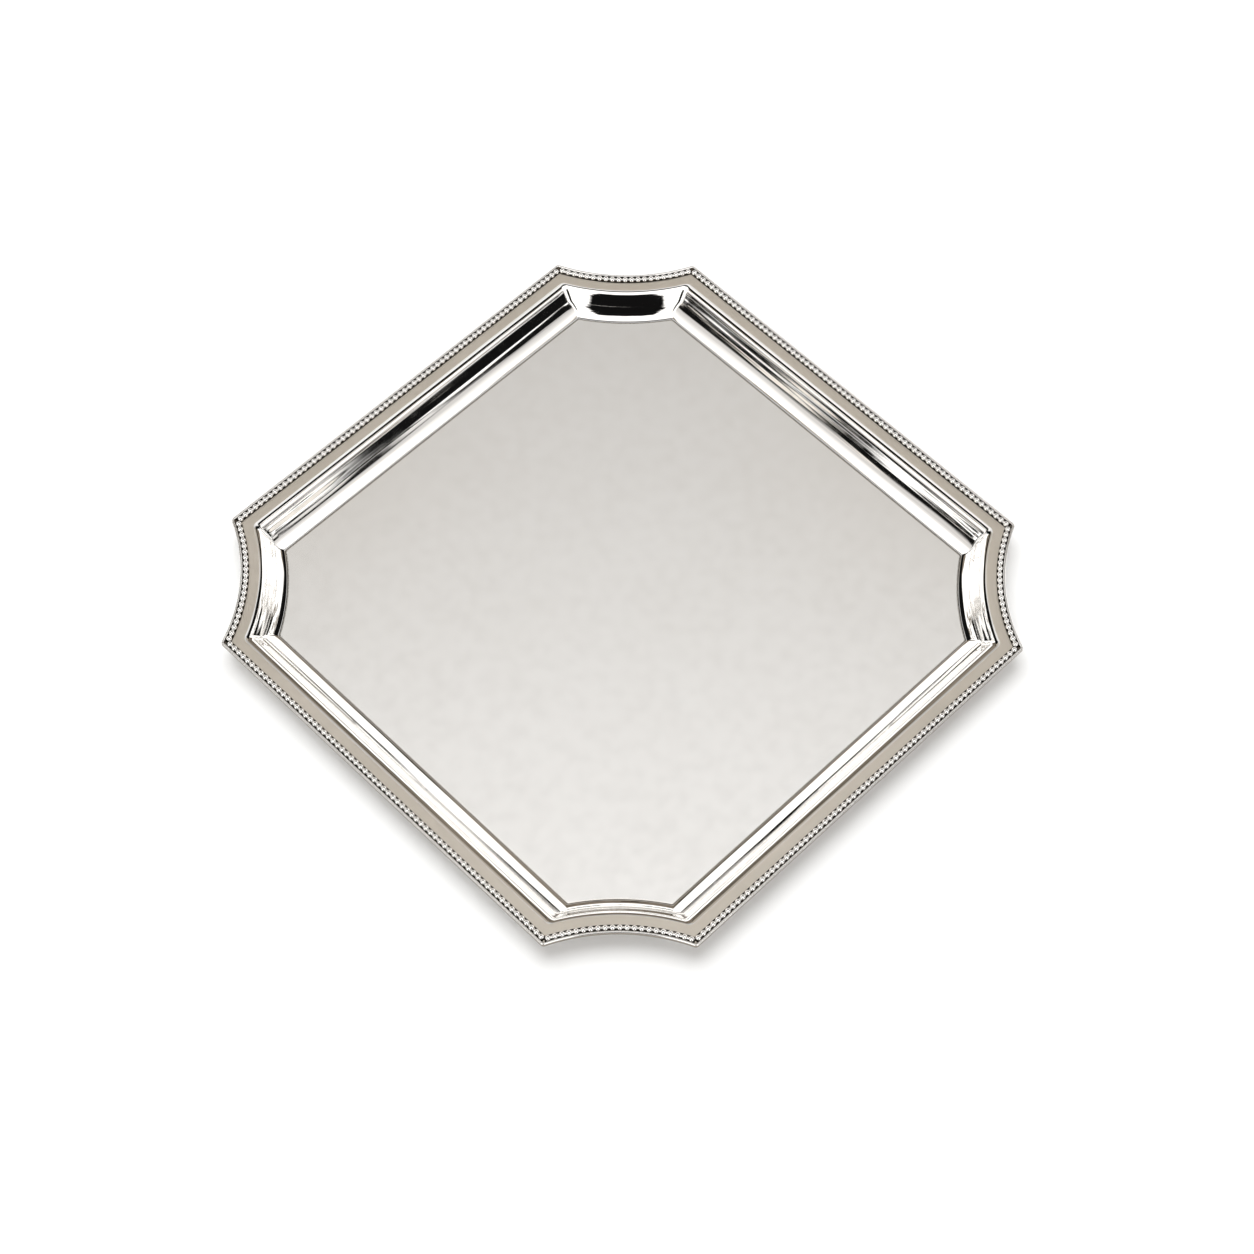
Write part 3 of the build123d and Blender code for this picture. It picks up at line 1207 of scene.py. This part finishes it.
FLAT_BAND = 4.2 * MM
FINE_SCRATCH = 0.0005 * MM
# Heights above the rim between which the pearls' darkening fades out: painted shade at their base,
# where they meet the strip.
PEARL_SHADE_BAND = (0.50 * MM, 0.80 * MM)
# Heights below the wire's top between which its outer flank darkens: painted shade standing in for the
# shadowed floor it mirrors.
WIRE_FLANK_SHADE = (-0.45 * MM, -0.12 * MM)
SILVER = (0.965, 0.95, 0.93)
# Near black: the colour of faint tarnished clouds, and of the painted shade in the chased groove and at
# the pearls' base.
TARNISH_AND_SHADE = (0.03, 0.022, 0.015)


def dress(piece: bpy.types.Object, nodes: Sequence[str]) -> None:
    """Put a finished piece on the salver's one body and say which nodes it stands for."""
    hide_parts(*nodes)
    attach(piece, "root")
    LOG.info("%s: %d faces, stands for %s", piece.name, len(piece.data.polygons), ", ".join(nodes))


def main() -> None:
    """Build the salver's pieces in order, then the studio around them."""
    logging.basicConfig(level=logging.INFO, format="%(name)s %(message)s")
    bpy.context.scene.view_settings.view_transform = "Standard"
    low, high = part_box("tray_body")
    wire_low, wire_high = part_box("edge_wire_right")
    pearl_low, pearl_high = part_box("pearl_wire_right")
    floor_mount = next(m for m in frame["record"]["mounts"] if m["name"] == "well_floor")
    plan = Plan(half_width=wire_high.x)
    wire_width = wire_high.x - wire_low.x
    strip_width = pearl_high.x - pearl_low.x
    flat_end = wire_width + strip_width + FLAT_BAND

    polished = SilverFinish(
        "polished silver", SILVER, TARNISH_AND_SHADE, roughness=0.04, roughness_spread=0.02, cloud=0.03,
        scratch=FINE_SCRATCH,
    )
    satin = SilverFinish(
        "satin silver", (0.97, 0.90, 0.80), (0.80, 0.73, 0.62), roughness=0.44,
        roughness_spread=0.06, cloud=0.25, grain=0.04 * MM,
    )
    well = SilverFinish(
        "soft polished silver", SILVER, (0.8, 0.77, 0.72), roughness=0.16, roughness_spread=0.03,
        cloud=0.08, scratch=0.0015 * MM,
    )
    under = SilverFinish(
        "brushed silver", SILVER, (0.6, 0.56, 0.5), roughness=0.3, roughness_spread=0.05,
        cloud=0.15, scratch=0.004 * MM,
    )
    # The pearls are darkened low down, near the strip: painted shade between the pearls.
    bead = SilverFinish(
        "polished pearl silver", SILVER, TARNISH_AND_SHADE, roughness=0.05, roughness_spread=0.02, cloud=0.03,
        scratch=FINE_SCRATCH, crevice_height=(high.z + PEARL_SHADE_BAND[0], high.z + PEARL_SHADE_BAND[1]),
    )
    # Below its crown the wire darkens to brown: painted shade on the flank, set through the finish's
    # darker colour.
    edge = SilverFinish(
        "polished wire silver", SILVER, (0.30, 0.265, 0.225), roughness=0.06, roughness_spread=0.02,
        cloud=0.03, scratch=FINE_SCRATCH,
        crevice_height=(wire_high.z + WIRE_FLANK_SHADE[0], wire_high.z + WIRE_FLANK_SHADE[1]),
    )
    # Nearly black strip under the pearls: painted shade in the gaps between them, on a tarnished strip.
    crease = SilverFinish(
        "tarnished silver", (0.03, 0.024, 0.018), (0.015, 0.012, 0.01), roughness=0.5,
        roughness_spread=0.1, cloud=0.6, grain=0.03 * MM,
    )

    sheet = PressedSheet(plan, high.z, floor_mount["pos_m"][2], wire_width, flat_end)
    finishes = {
        Zone.SATIN: satin.material(), Zone.BOUGE: polished.material(),
        Zone.WELL: well.material(), Zone.UNDERSIDE: under.material(),
    }
    dress(sheet.build(finishes), ["tray_body"])
    wire = EdgeWire(plan, wire_width, wire_low.z, wire_high.z)
    for node, piece in wire.build(edge.material()).items():
        dress(piece, [node])
    pearls = PearlWire(plan, wire_width + strip_width / 2, strip_width, high.z)
    for node, piece in pearls.build(bead.material(), crease.material()).items():
        dress(piece, [node])

    Studio(high.z, plan.half_width).build()


if __name__ == "__main__":
    main()
